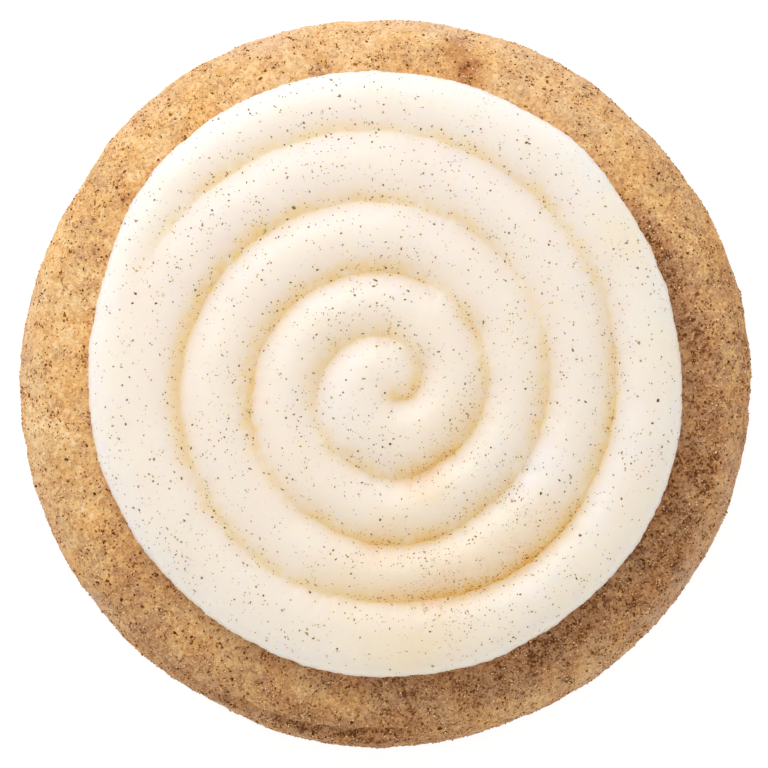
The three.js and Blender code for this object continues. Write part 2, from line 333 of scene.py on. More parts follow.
# Frosting: a warm blush, partly a warm tint and partly painted warm shade and painted bounce light on the
# lower right away from the lamp, and fine dust on its slopes (x, y, size, how much)
BLUSH_AND_WARM_SHADE_PATCHES = (
    (2.0, -10.0, 34.0, 0.5),
    (10.0, -26.5, 6.0, 0.7),
    (21.0, -20.5, 5.5, 0.5),
    (-4.0, -27.0, 5.0, 0.5),
    (3.0, -23.5, 4.0, 0.6),
    (6.0, -26.5, 3.0, 0.4),
    (7.2, -12.5, 3.0, 0.3),
    (0.0, -37.5, 4.0, 0.25),
    (0.5, -20.0, 3.0, 0.4),
    (5.0, -14.0, 2.5, 0.6),
    (9.5, -5.5, 3.0, 0.4),
    (2.0, -36.5, 4.5, 0.3),
    (6.2, -35.3, 4.0, 0.3),
    (13.5, -35.5, 4.5, 0.1),
    (22.0, -31.0, 4.5, 0.1),
    (29.0, -25.0, 4.5, 0.15),
    (34.5, -16.5, 4.5, 0.25),
    (34.0, 21.0, 5.0, 0.6),
    (39.0, 4.0, 4.0, 0.35),
    (-6.0, -2.5, 5.0, -0.35),
    (19.6, -11.3, 3.5, -0.55),
)
BLUSH_AND_WARM_SHADE_BANDS = ((315, 30, 34, 1.8, -0.3),)  # less of the painted warm shade on the lit slope beyond the last groove
DUST_PATCHES = (
    (7.4, -27.6, 2.6, 0.4),
    (12.5, -26.0, 2.6, 0.3),
    (17.0, -23.2, 2.6, 0.35),
    (22.0, -18.5, 2.6, 0.15),
    (2.5, -29.0, 2.0, 0.25),
    (5.0, -13.0, 2.4, 0.3),
    (-1.0, -22.5, 2.2, 0.2),
    (6.2, -35.3, 4.0, 0.12),
)

# Ground cinnamon and sugar: how many grains, and their smallest and largest sizes across
CINNAMON_ON_FROSTING = 7200
CINNAMON_ON_COOKIE = 8800
SUGAR_ON_COOKIE = 12000
CINNAMON_SIZES_ON_FROSTING = (0.13, 0.57)
CINNAMON_SIZES_ON_COOKIE = (0.2, 0.72)
SUGAR_SIZES = (0.16, 0.36)
SIZE_SPREAD = (1.2, 3.0)  # of a beta curve: many small grains and few large
GRAIN_TILT = 0.25  # how far grains lean, as a share of the surface's normal
FLAKE_SIDES = 5
FLAKE_THICKNESS = 0.5  # share of its width
CRYSTAL_EDGE = 0.7  # share of its size across
CINNAMON_FORM = ((0.3, 1.0), 0.14, 0.04)  # (least and most stretch, roughness, lift off the surface)
SUGAR_FORM = ((0.7, 1.0), 0.06, 0.1)

# Ground cinnamon and sugar: where they lie, in clumps (size across, how strong)
COATING_CLUMPS = ((3.0, 1), (1.2, 1))
COATING_LEVELS = (0.2, 0.3, 2)  # (between clumps, lift of the pattern, most above that in a clump)
COATING_SIDE_SHARE = 0.2
COATING_FULL_FACING = 0.6  # upward part of the normal where the coating is full
COATING_FROM_HEIGHT = 1
CINNAMON_BY_BROWNING_AND_SHADE = (-0.05, 0.1, 0.58)  # (added to the browning with its painted shade, least, most)
SUGAR_BY_BROWNING_AND_SHADE = (0.2, 0.3, 0.85)
SUGAR_RUBBED = 0.6  # share of it that has come off on one side
SUGAR_RUBBED_ANGLE = 345
SUGAR_RUBBED_HALF_SPREAD = 28
DRIFT_CLUMPS = ((6.0, 1), (1.8, 1))
DRIFT_LEVELS = (0.45, 0.4, 2)
DRIFT_FINENESS = 0.14  # where more of it fell, more of it is fine dust
DRIFT_MOST = 2
STAIN_GATHERS = 8  # how much more cinnamon lies where the groove is stained or painted with warm shade
SYRUP_AND_SHADE_GATHERS = 0.25  # share of that where it is only syrup with its painted shade
STAINED_WARMTH = 0.9  # cinnamon soaked with syrup is nearly as warm as the baked
RUSTY_SHARE = 0.3  # of the soaked grains, those that have turned orange
SUGAR_TINT_AND_GLINT_POWER = 2  # most crystals are dull and few are bright; the bright ones are painted glints
CINNAMON_DRIFTS = (  # where more or less of it fell on the frosting (x, y, size, how much)
    (3.0, -0.5, 2.5, 1.0),
    (3.7, -12.1, 4.0, 1.6),
    (9.9, -8.5, 4.0, 2.2),
    (-3.3, -12.0, 4.0, 0.6),
    (12.0, -14.0, 5.0, 0.8),
    (7.3, -26.0, 7.0, 2.0),
    (21.0, -20.0, 5.0, 1.4),
    (9.4, -33.0, 5.0, 0.6),
    (18.5, -4.0, 4.0, 0.6),
    (-5.6, 7.0, 3.0, 1.0),
    (-18.0, 6.2, 4.0, 0.6),
    (-23.0, -19.0, 6.0, 0.6),
    (9.8, 18.6, 5.0, -0.45),
    (24.0, 24.0, 7.0, -0.2),
)

# Seeds: each random pattern has its own, and its layers count on from it
SEED_SHIFT = (3.7, 5.3, 7.9)  # how far a pattern moves for each step of its seed
CRUMB_SEED = 0
PIT_SEED = 7
CREASE_SEED = 9
FROSTING_WAVER_SEED = 11
STAIN_SEED = 17
GRAIN_SEED = 20
PATCH_EDGE_SEEDS = (22, 23)
BLOTCH_SEED = 24
COATING_SEED = 31
DRIFT_SEED = 33
GROOVE_WAVER_SEED = 41
EDGE_WAVER_SEED = 45
SIDE_WAVER_SEED = 51

# Mesh steps
COOKIE_COLUMNS = 1040
DOME_FROM_RADIUS = 9
COVERED_ROWS = 4
RING_STEPS = 17
SHOULDER_STEPS = 48
FOOT_STEPS = 12
BASE_TO_RADIUS = 12
BASE_STEPS = 4
FROSTING_ROWS = 620
GROOVE_STEPS_PER_TURN = 420
COIL_STEPS = 26
PLATEAU_STEP = 0.4
ROLL_STEPS = 22
TUCK_STEPS = 7
UNDERSIDE_STEPS = 4
SAME_GROOVE_TURNS = 0.1
POINTS_AT_A_TIME = 4000

# Materials: sizes of their patterns, and colours
CRUMB_SIZE = 0.5
CRUMB_CONTRAST = 0.45  # change of the browning from crumb to crumb
GRIT_SIZE = 0.3
GRIT_CONTRAST = 0.9
GRIT_HEIGHT = 0.15
CAST_SIZE = 5
CAST_RANGE = (0.4, 0.6)  # levels of its pattern where the cast starts and is full
CREAM_SIZE = 6
WHIP_SIZE = 0.9
WHIP_HEIGHT = 0.05
LIGHT_REACH = 15  # how far light spreads inside the frosting
CRUMB_TOASTS = (  # (browning, colour)
    (0.0, "#F1D5A9"),
    (0.3, "#E4B97B"),
    (0.58, "#C79A71"),
    (0.82, "#AA7C58"),
    (1.0, "#6A3F1A"),
)
CRUMB_MARKS = (("caramel", "#D9A63C"), ("toffee", "#AC6430"), ("paler_rim", "#DCBEA6"))
FROSTING_STAINS_AND_SHADES = (
    ("blush_and_warm_shade", "#F6DEC8"),
    ("dust", "#ECBE9A"),
    ("syrup_and_shade", "#F1D8AC"),
    ("cinnamon", "#EFCA7A"),
)
CINNAMON_STAINS = (("rusty", "#C8743C"),)
CINNAMON_SHADES = (("#5E4228", "#C6A476"), ("#5C3300", "#AA6C18"))  # dry, then baked
WHITE = (1.0, 1.0, 1.0, 1.0)
MIX_FACTOR, MIX_A, MIX_B, MIX_RESULT = 0, 6, 7, 2  # a mix node's sockets for colours, by number

# Stage: camera, light and floor
CAMERA_HEIGHT = 900
CAMERA_PLACE = (-0.08, -0.22)
FRAME_WIDTH = 105.2  # width of the view at the cookie's widest line
SENSOR_WIDTH = 36
KEY_AZIMUTH = 115
KEY_ELEVATION = 40
KEY_DISTANCE = 1600
KEY_SIZE = 1400
KEY_POWER = 14.6
FILL_STRENGTH = 0.711
FLOOR_SIZE = 3000
FLOOR_GLOW = 0.88


# Shared curves


def bump(offset, half_width):
    """A smooth rise that is 1 in the middle, a half at half_width and 0 at twice that."""
    share = np.abs(offset) / (2 * half_width)
    return np.where(share < 1, np.cos(np.minimum(share, 1) * math.pi / 2) ** 2, 0)


def smoothstep(value, low, high):
    """From 0 at low to 1 at high, without a corner at either."""
    share = np.clip((value - low) / (high - low), 0, 1)
    return share * share * (3 - 2 * share)


def bell(offset, width):
    return np.exp(-((offset / width) ** 2))


def between(low, high, share):
    return low + (high - low) * share


def steps(start, end, count):
    """Even steps from start to end, without the start itself."""
    return np.linspace(start, end, count + 1)[1:]


def degrees_between(a, b):
    """The short way round from b to a."""
    return (a - b + 180) % 360 - 180


def degrees_of(x, y):
    return np.degrees(np.arctan2(y, x))


def sum_of_lobes(lobes, degrees):
    """How far an outline stands out at an angle, from its lobes."""
    return sum(out * bump(degrees_between(degrees, at), half) for at, half, out in lobes)


def sum_of_spots(spots, x, y):
    """Round marks, each at a place in plan."""
    return sum(much * bump(np.hypot(x - at_x, y - at_y), size) for at_x, at_y, size, much in spots)


def sum_of_patches(patches, x, y):
    """Round marks, each at an angle and a radius."""
    total = np.zeros_like(x)
    for angle, radius, size, much in patches:
        at_x = radius * math.cos(math.radians(angle))
        at_y = radius * math.sin(math.radians(angle))
        total += much * bump(np.hypot(x - at_x, y - at_y), size)
    return total


def sum_of_bands(bands, x, y):
    """Bands that follow the rim: each has its middle angle and radius, and fades out along and across."""
    degrees = degrees_of(x, y)
    out = np.hypot(x, y)
    return sum(
        much * bump(degrees_between(degrees, angle), spread) * bump(out - radius, width)
        for angle, spread, radius, width, much in bands
    )


def lumps(points, size, seed):
    """Smooth random rises and hollows, each about size across, from -1 to 1."""
    place = Vector([seed * shift for shift in SEED_SHIFT])
    return np.array([noise.noise(Vector(point) / size + place) for point in points])


def sum_of_lumps(layers, points, seed):
    """Layers of lumps, each with its size across and how strong it is."""
    return sum(much * lumps(points, size, number) for number, (size, much) in enumerate(layers, seed))


def in_plan(x, y):
    """Points without their heights, for a pattern that is the same at every height."""
    return np.column_stack([x, y, np.zeros_like(x)])


def dome_height(x, y):
    return COOKIE_HEIGHT - DOME_DROP * (x * x + y * y) / DOME_RADIUS**2


# Cookie


def bezier(corners, count):
    """Points along a Bezier curve, without its first point."""
    share = steps(0, 1, count)[:, None]
    points = [np.array(corner, float) for corner in corners]
    while len(points) > 1:
        points = [between(a, b, share) for a, b in zip(points, points[1:])]
    return points[0]


def cookie_profile():
    """Radius and height, from just off the middle of the top to just off the middle of the base."""
    edge = COOKIE_HEIGHT - DOME_DROP
    slope = 2 * DOME_DROP / DOME_RADIUS
    covered = np.linspace(DOME_FROM_RADIUS, COVERED_RADIUS, COVERED_ROWS)
    dome = np.concatenate([covered, steps(COVERED_RADIUS, DOME_RADIUS, RING_STEPS)])
    top = np.column_stack([dome, dome_height(dome, 0)])
    shoulder_corners = (
        (DOME_RADIUS, edge),
        (DOME_RADIUS + SHOULDER_REACH, edge - SHOULDER_REACH * slope),
        (COOKIE_RADIUS, WAIST_HEIGHT + SHOULDER_STAND),
        (COOKIE_RADIUS, WAIST_HEIGHT),
    )
    foot_corners = ((COOKIE_RADIUS, WAIST_HEIGHT), (COOKIE_RADIUS, FOOT_CORNER), (FOOT_RADIUS, 0))
    shoulder = bezier(shoulder_corners, SHOULDER_STEPS)
    foot = bezier(foot_corners, FOOT_STEPS)
    base = [(radius, 0) for radius in steps(FOOT_RADIUS, BASE_TO_RADIUS, BASE_STEPS)]
    return np.concatenate([top, shoulder, foot, base])


def crust_waves(x, y, z):
    """The broad waves that the solid has too."""
    total = np.zeros_like(x)
    for wave in range(CRUST_WAVES):
        heading = wave * CRUST_HEADING_STEP
        climb = math.sin(wave * CRUST_PITCH_STEP)
        length = CRUST_LONGEST_WAVE + (CRUST_SHORTEST_WAVE - CRUST_LONGEST_WAVE) * wave / (CRUST_WAVES - 1)
        along = x * math.cos(heading) + y * math.sin(heading) + z * climb
        total += np.sin(FULL_TURN * along / length + wave * wave)
    fade = smoothstep(np.hypot(x, y), CRUST_FROM_RADIUS, CRUST_FULL_RADIUS)
    return CRUST_RELIEF * fade * total / math.sqrt(CRUST_WAVES)


def distance_to_path(x, y, path):
    """Plan distance from each point to a line of straight pieces."""
    nearest = np.full_like(x, np.inf)
    for (ax, ay), (bx, by) in zip(path, path[1:]):
        length = (bx - ax) ** 2 + (by - ay) ** 2
        share = np.clip(((x - ax) * (bx - ax) + (y - ay) * (by - ay)) / length, 0, 1)
        nearest = np.minimum(nearest, np.hypot(x - ax - share * (bx - ax), y - ay - share * (by - ay)))
    return nearest


def crease(x, y):
    """How deep in the crease each place is, from 0 to 1."""
    start, end = CREASE_ANGLES
    share = (degrees_of(x, y) % 360 - start) / (end - start)
    ends = smoothstep(share, 0, CREASE_FADE) * (1 - smoothstep(share, 1 - CREASE_FADE, 1))
    radius = between(*CREASE_RADII, share) + sum_of_lumps(CREASE_WAVER, in_plan(x, y), CREASE_SEED)
    return ends * bump(np.hypot(x, y) - radius, CREASE_HALF_WIDTH)


def crumb_relief(x, y, z):
    """Crumbs, small open pits, the crease inside the rim and the crack."""
    points = np.column_stack([x, y, z])
    relief = sum_of_lumps(CRUMB_RELIEF, points, CRUMB_SEED) - CRUMB_INSET
    relief -= PIT_DEPTH * np.maximum(-lumps(points, PIT_SIZE, PIT_SEED) - PIT_LEVEL, 0)
    on_top = z > WAIST_HEIGHT
    relief -= on_top * CREASE_DEPTH * crease(x, y)
    relief -= on_top * CRACK_DEPTH * bump(distance_to_path(x, y, CRACK_POINTS), CRACK_HALF_WIDTH)
    return relief


def cookie_surface():
    """Vertices in rows round the cookie, with one more at each pole, and faces."""
    profile = cookie_profile()
    rows = len(profile)
    along = np.gradient(profile, axis=0)
    normal = np.column_stack([-along[:, 1], along[:, 0]])
    normal /= np.linalg.norm(normal, axis=1)[:, None]
    angle = np.linspace(0, FULL_TURN, COOKIE_COLUMNS, endpoint=False)
    cosine = np.tile(np.cos(angle), rows)
    sine = np.tile(np.sin(angle), rows)
    radius, height = (np.repeat(profile[:, axis], COOKIE_COLUMNS) for axis in (0, 1))
    outward, upward = (np.repeat(normal[:, axis], COOKIE_COLUMNS) for axis in (0, 1))

    x = radius * cosine
    y = radius * sine
    share = between(CRUST_SIDE_SHARE, 1, smoothstep(upward, 0, 1))
    fine = crumb_relief(x, y, height) * smoothstep(radius, COVERED_RADIUS, CRUMB_FULL_RADIUS)
    relief = (crust_waves(x, y, height) * share + fine) * smoothstep(height, 0, CRUST_FULL_HEIGHT)
    lobes = sum_of_lobes(RIM_LOBES, degrees_of(x, y)) / COOKIE_RADIUS
    spread = 1 + lobes * smoothstep(radius, LOBES_FROM_RADIUS, LOBES_FULL_RADIUS)
    reach = (radius + outward * relief) * spread
    vertices = np.column_stack([reach * cosine, reach * sine, height + upward * relief])
    vertices = np.concatenate([vertices, [(0, 0, COOKIE_HEIGHT), (0, 0, 0)]])

    first = np.arange(COOKIE_COLUMNS)
    following = (first + 1) % COOKIE_COLUMNS
    faces = []
    for row in range(rows - 1):
        near = row * COOKIE_COLUMNS
        far = near + COOKIE_COLUMNS
        quads = np.column_stack([near + first, far + first, far + following, near + following])
        faces.extend(quads.tolist())
    last = (rows - 1) * COOKIE_COLUMNS
    pole = rows * COOKIE_COLUMNS
    faces.extend(np.column_stack([np.full_like(first, pole), first, following]).tolist())
    faces.extend(np.column_stack([np.full_like(first, pole + 1), last + following, last + first]).tolist())
    return vertices, faces


def cookie_browning_and_shade(x, y, z):
    """How brown the crust is at each place, before its fine grain; it also carries painted shade, darker
    away from the lamp, in the frosting's shadow and in the crease.
    """
    points = np.column_stack([x, y, z])
    # lean is 1 on the side away from the lamp, where the browning is partly painted shade
    lean = np.cos(np.radians(degrees_of(x, y) - BROWNING_AND_SHADE_LEAN_ANGLE))
    # painted shade in the crease
    painted_crease_shade = CREASE_PAINTED_SHADE * crease(x, y)
    ragged = [PATCH_EDGE_REACH * lumps(points, PATCH_EDGE_SIZE, seed) for seed in PATCH_EDGE_SEEDS]
    place = (x + ragged[0], y + ragged[1])
    marks = sum_of_patches(BROWN_PATCHES, *place) + sum_of_bands(BROWN_BANDS, *place) + painted_crease_shade
    marks = marks * smoothstep(z, *PATCH_FADE_HEIGHTS)
    foot = FOOT_BROWNING * (1 - smoothstep(z, 0, FOOT_BROWN_HEIGHT))
    blotches = sum_of_lumps(BROWN_BLOTCHES, points, BLOTCH_SEED)
    return BROWNING + BROWNING_AND_SHADE_LEAN * lean + marks + foot + blotches


# Frosting


def groove_radius(turn):
    """How far from the eye the groove runs, by turns."""
    drift = DRIFT_PER_TURN * turn * np.cos(FULL_TURN * turn - math.radians(DRIFT_ANGLE))
    hook = HOOK_IN * (1 - smoothstep(turn, HOOK_FROM_TURN, HOOK_DONE_TURN))
    wobble = sum(out * bump(turn - at, half) for at, half, out in HAND_WOBBLES)
    radius = GROOVE_START_RADIUS + ROPE_PITCH * turn + drift - hook + wobble
    place = np.column_stack([radius * np.cos(FULL_TURN * turn), radius * np.sin(FULL_TURN * turn), turn])
    return radius + sum_of_lumps(GROOVE_WAVER, place, GROOVE_WAVER_SEED)


def groove_strength(turn):
    """How deep the groove is cut, from 0 to 1, by turns."""
    fade_in = smoothstep(turn, GROOVE_FROM_TURN, GROOVE_FULL_TURN)
    shallow = sum(missing * bump(turn - at, half) for at, half, missing in GROOVE_SHALLOWS)
    return fade_in * (1 - shallow) * (1 - smoothstep(turn, GROOVE_FADES_TURN, GROOVE_GONE_TURN))


def groove_line():
    """Places along the groove, with how deep it is cut at each."""
    turn = np.linspace(
        GROOVE_FROM_TURN,
        GROOVE_GONE_TURN,
        round((GROOVE_GONE_TURN - GROOVE_FROM_TURN) * GROOVE_STEPS_PER_TURN),
    )
    radius = groove_radius(turn)
    x = EYE[0] + radius * np.cos(FULL_TURN * turn)
    y = EYE[1] + radius * np.sin(FULL_TURN * turn)
    return x, y, groove_strength(turn)


def rope_fall(distance, strength):
    """How far the rope's round back has fallen at a distance from a groove, sharp where that is strong."""
    half_rope = ROPE_PITCH / 2
    rope_radius = (half_rope**2 + GROOVE_DEPTH**2) / (2 * GROOVE_DEPTH)
    fillet = GROOVE_FILLET + SOFT_FILLET * (1 - strength)
    from_ridge = np.maximum(half_rope - np.hypot(distance, fillet), 0)
    return strength * (rope_radius - np.sqrt(rope_radius**2 - from_ridge**2))


def groove_near(x, y):
    """How far the frosting has fallen into a groove at each place, and the plan offset from that groove."""
    line_x, line_y, strength = groove_line()
    along_x, along_y, rise = np.diff(line_x), np.diff(line_y), np.diff(strength)
    length = along_x**2 + along_y**2
    found = np.empty((len(x), 3))
    for start in range(0, len(x), POINTS_AT_A_TIME):
        block = slice(start, start + POINTS_AT_A_TIME)
        from_x = x[block, None] - line_x[:-1]
        from_y = y[block, None] - line_y[:-1]
        share = np.clip((from_x * along_x + from_y * along_y) / length, 0, 1)
        from_x -= share * along_x
        from_y -= share * along_y
        depth = rope_fall(np.hypot(from_x, from_y), strength[:-1] + share * rise)
        deepest = depth.argmax(axis=1)[:, None]
        columns = [np.take_along_axis(values, deepest, axis=1) for values in (depth, from_x, from_y)]
        found[block] = np.concatenate(columns, axis=1)
    return found.T


def unevenly(pattern, level, strength, least):
    """A pattern of lumps as shares, from least to 1."""
    return np.clip(level + strength * pattern, least, 1)


def groove_stains(x, y, fall, from_x, from_y):
    """How strongly syrup with painted warm shade, cinnamon, a blush and dust have coloured each place, from
    0 to 1.

    Syrup and cinnamon lie at the foot of the slopes that face the near right, away from the lamp, and hardly
    on the far side. That one-sidedness is painted shade, and the syrup, which grows deeper in the groove, is
    partly painted warm shade.
    """
    distance = np.hypot(from_x, from_y)
    heading = math.radians(SHADED_SLOPE_FACING)
    away = from_x * math.cos(heading) + from_y * math.sin(heading)
    side = smoothstep(-away / np.maximum(distance, SMALLEST_DISTANCE), *SHADED_SLOPE_SIDES)
    patchy = sum_of_lumps(STAIN_LUMPS, in_plan(x, y), STAIN_SEED)
    uneven = unevenly(patchy, *SYRUP_AND_SHADE_EVENNESS)

    # Syrup, partly painted warm shade: strongest on the slopes away from the lamp and deep in the groove
    much_syrup_and_shade = np.clip(SYRUP_AND_SHADE + sum_of_spots(SYRUP_AND_SHADE_PATCHES, x, y), 0, 1)
    much_syrup_and_shade = much_syrup_and_shade * between(STAIN_FAR_SHARE, 1, side)
    width = between(STAIN_THIN_WIDTH, STAIN_WIDTH, side)
    settled = bell(distance - STAIN_CLIMB * side, width)
    syrup_and_shade = much_syrup_and_shade * settled * smoothstep(fall, *SYRUP_AND_SHADE_FALLS) * uneven

    # The cinnamon stains are real, but kept mostly to the shaded side, which is painted shade
    much_rust = np.clip(sum_of_spots(RUST_PATCHES, x, y), 0, 1) * between(RUST_FAR_SHARE, 1, side)
    settled = bell(distance, between(RUST_FAR_WIDTH, RUST_WIDTH, side))
    rust = much_rust * settled * unevenly(patchy, *RUST_EVENNESS)

    # blush: partly a warm tint, partly painted warm shade and painted bounce light
    blush_and_warm_shade = np.clip(sum_of_spots(BLUSH_AND_WARM_SHADE_PATCHES, x, y) + sum_of_bands(BLUSH_AND_WARM_SHADE_BANDS, x, y), 0, 1)
    dust = np.clip(sum_of_spots(DUST_PATCHES, x, y), 0, 1) * uneven
    return {"syrup_and_shade": syrup_and_shade, "cinnamon": rust, "blush_and_warm_shade": blush_and_warm_shade, "dust": dust}


def frosting_edge(degrees):
    """Plan place of the frosting's outline at an angle, with the end of the rope smeared along it."""
    rise = np.clip((degrees - TAIL_FROM) / (TAIL_FULL - TAIL_FROM), 0, 1)
    tail = TAIL_OUT * rise * (1 - smoothstep(degrees, TAIL_ENDS, TAIL_GONE))
    heading = Vector((math.cos(math.radians(degrees)), math.sin(math.radians(degrees)), 0))
    waver = sum_of_lumps(EDGE_WAVER, [heading * FROSTING_RADIUS], EDGE_WAVER_SEED)[0]
    radius = FROSTING_RADIUS + tail + sum_of_lobes(FROSTING_LOBES, degrees) + waver
    return FROSTING_MIDDLE[0] + radius * heading.x, FROSTING_MIDDLE[1] + radius * heading.y


def frosting_row(degrees):
    """One ray from the eye: its points, the turn and number of each groove point, and where the roll starts.

    A point is x, y, the height of the widest line, and a share that is 1 on top, falls to 0 at the widest
    line, then to -1 at the underside.
    """
    edge_x, edge_y = frosting_edge(degrees)
    ray = math.atan2(edge_y - EYE[1], edge_x - EYE[0])
    edge = math.hypot(edge_x - EYE[0], edge_y - EYE[1])
    turns = np.arange(ray / FULL_TURN % 1 - 1, GROOVE_GONE_TURN, 1)
    turns = turns[turns >= GROOVE_FROM_TURN]
    grooves = groove_radius(turns)
    room = (edge - grooves[-1]) * EDGE_ROLL_SHARE
    roll = between(EDGE_ROLL, min(EDGE_ROLL, room), float(groove_strength(turns[-1])))
    inside = grooves < edge - roll
    turns = turns[inside]
    grooves = grooves[inside]

    middle_steps = max(round(grooves[0] / PLATEAU_STEP), 1)
    radii = [np.linspace(0, grooves[0], middle_steps + 1)]
    across = (1 - np.cos(steps(0, math.pi, COIL_STEPS))) / 2
    radii += [between(inner, outer, across) for inner, outer in zip(grooves, grooves[1:])]
    plateau_steps = max(round((edge - roll - grooves[-1]) / PLATEAU_STEP), 1)
    radii.append(steps(grooves[-1], edge - roll, plateau_steps))
    top = np.concatenate(radii)
    over = steps(0, math.pi / 2, ROLL_STEPS)
    under = steps(0, math.pi / 2, TUCK_STEPS)
    back = steps(edge - EDGE_TUCK, 0, UNDERSIDE_STEPS)
    squared = 2 / EDGE_ROLL_POWER
    rolled = edge - roll * (1 - np.sin(over) ** squared)
    tucked = edge - EDGE_TUCK * (1 - np.cos(under))
    radius = np.concatenate([top, rolled, tucked, back])
    drop = np.maximum(np.cos(over), 0) ** squared
    share = np.concatenate([np.ones_like(top), drop, -np.sin(under), -np.ones_like(back)])
    waist = np.full_like(radius, dome_height(edge_x, edge_y) + EDGE_WAIST)
    x = EYE[0] + radius * math.cos(ray)
    y = EYE[1] + radius * math.sin(ray)
    marks = [(turn, middle_steps + COIL_STEPS * coil) for coil, turn in enumerate(turns)]
    return np.column_stack([x, y, waist, share]), marks, len(top) - 1


def zip_rows(points, first, second):
    """Triangles between two neighbouring rows of point numbers, always across the shorter diagonal."""
    triangles = []
    a = b = 0
    while a < len(first) - 1 or b < len(second) - 1:
        step_a = step_b = math.inf
        if a < len(first) - 1:
            step_a = math.dist(points[first[a + 1]], points[second[b]])
        if b < len(second) - 1:
            step_b = math.dist(points[first[a]], points[second[b + 1]])
        if step_a <= step_b:
            triangles.append((first[a], first[a + 1], second[b]))
            a += 1
        else:
            triangles.append((first[a], second[b + 1], second[b]))
            b += 1
    return [t for t in triangles if len(set(t)) == 3]


def matching_cuts(first, second):
    """Where two neighbouring rows cross the same grooves, so that the mesh keeps to the groove lines."""
    first_points, first_marks, first_roll = first
    second_points, second_marks, second_roll = second
    cuts = [(0, 0)]
    for turn, at in first_marks:
        cuts += [(at, there) for other, there in second_marks if abs(turn - other) < SAME_GROOVE_TURNS]
    cuts.append((first_roll, second_roll))
    cuts.append((len(first_points) - 1, len(second_points) - 1))
    return cuts


def frosting_points(rows):
    """Every point of the rows once, the two ends that they share last, with the stains at each."""
    table = np.concatenate([row[1:-1] for row in rows] + [rows[0][[0, -1]]])
    x, y, waist, share = table.T
    fall, from_x, from_y = groove_near(x, y)
    dome = dome_height(x, y)
    waver = sum_of_lumps(FROSTING_WAVER, in_plan(x, y), FROSTING_WAVER_SEED)
    top = dome + FROSTING_HEIGHT - fall + waver
    lowest = dome - FROSTING_SINK
    z = np.where(share >= 0, waist + (top - waist) * share, waist + (waist - lowest) * share)
    nicks = sum_of_lumps(SIDE_WAVER, np.column_stack([x, y, z]), SIDE_WAVER_SEED)
    reach = 1 + nicks * (1 - np.abs(share)) / FROSTING_RADIUS
    stains = groove_stains(x, y, fall, from_x, from_y)
    on_top = {name: stain * (share > 0) for name, stain in stains.items()}
    return np.column_stack([x * reach, y * reach, z]), on_top


def frosting_surface():
    """Vertices, faces, and the stains at each vertex."""
    made = [frosting_row(row * 360 / FROSTING_ROWS) for row in range(FROSTING_ROWS)]
    rows = [row for row, marks, roll_start in made]
    vertices, stains = frosting_points(rows)

    top_pole = len(vertices) - 2
    numbers = []
    for end, row in zip(np.cumsum([len(row) - 2 for row in rows]), rows):
        inner = list(range(end - len(row) + 2, end))
        numbers.append([top_pole] + inner + [top_pole + 1])
    points = vertices.tolist()
    faces = []
    for row in range(FROSTING_ROWS):
        following = (row + 1) % FROSTING_ROWS
        first = numbers[row]
        second = numbers[following]
        cuts = matching_cuts(made[row], made[following])
        for (a, b), (next_a, next_b) in zip(cuts, cuts[1:]):
            faces.extend(zip_rows(points, first[a:next_a + 1], second[b:next_b + 1]))
    return vertices, faces, stains


# Scattered grains


def scatter(vertices, triangles, gather, weight, count, rng):
    """Random places on a surface with the surface's normal at each.

    The weight of each triangle comes from its middle, its normal and the mean of its corners' gather
    values.
    """
    corners = vertices[triangles]
    normals = np.cross(corners[:, 1] - corners[:, 0], corners[:, 2] - corners[:, 0])
    area = np.linalg.norm(normals, axis=1)
    normals /= np.maximum(area, SMALLEST_AREA)[:, None]
    chance = area * weight(corners.mean(axis=1), normals, gather[triangles].mean(axis=1))
    chosen = rng.choice(len(triangles), count, p=chance / chance.sum())
    share = np.sort(rng.random((count, 2)), axis=1)
    mix = np.column_stack([share[:, 0], share[:, 1] - share[:, 0], 1 - share[:, 1]])
    return (corners[chosen] * mix[:, :, None]).sum(axis=1), normals[chosen]


def random_frames(normals, rng):
    """For each normal, three axes: two at a random turn along the surface, and the normal."""
    loose = rng.normal(size=normals.shape)
    side = np.cross(normals, loose)
    side /= np.linalg.norm(side, axis=1)[:, None]
    return np.stack([side, np.cross(normals, side), normals], axis=1)


def grains(places, normals, sizes, shape, faces, stretches, roughness, lift, rng):
    """Many copies of a small shape, each turned, stretched and roughened by chance, as one set of faces."""
    count = len(places)
    stretch = rng.uniform(*stretches, (count, 1, 3))
    corners = shape[None] * stretch + rng.normal(0, roughness, (count, len(shape), 3))
    corners = corners * sizes[:, None, None] / 2
    axes = random_frames(normals + rng.normal(0, GRAIN_TILT, normals.shape), rng)
    seats = places + normals * sizes[:, None] * lift
    vertices = np.einsum("nck,nkd->ncd", corners, axes) + seats[:, None]
    numbers = np.array(faces)[None] + (np.arange(count) * len(shape))[:, None, None]
    return vertices.reshape(-1, 3), numbers.reshape(-1, 3)


def flake():
    """A ring of corners with a low point above and below."""
    angles = [FULL_TURN * side / FLAKE_SIDES for side in range(FLAKE_SIDES)]
    corners = [(math.cos(angle), math.sin(angle), 0) for angle in angles]
    corners += [(0, 0, FLAKE_THICKNESS), (0, 0, -FLAKE_THICKNESS)]
    faces = []
    for side in range(FLAKE_SIDES):
        following = (side + 1) % FLAKE_SIDES
        faces += [(side, following, FLAKE_SIDES), (following, side, FLAKE_SIDES + 1)]
    return np.array(corners), faces


def crystal():
    """A small cube, as sugar grows."""
    corners = [(x, y, z) for x in (-1, 1) for y in (-1, 1) for z in (-1, 1)]
    quads = ((0, 1, 3, 2), (4, 6, 7, 5), (0, 4, 5, 1), (2, 3, 7, 6), (0, 2, 6, 4), (1, 5, 7, 3))
    faces = [t for a, b, c, d in quads for t in ((a, b, c), (a, c, d))]
    return np.array(corners, float) * CRYSTAL_EDGE, faces


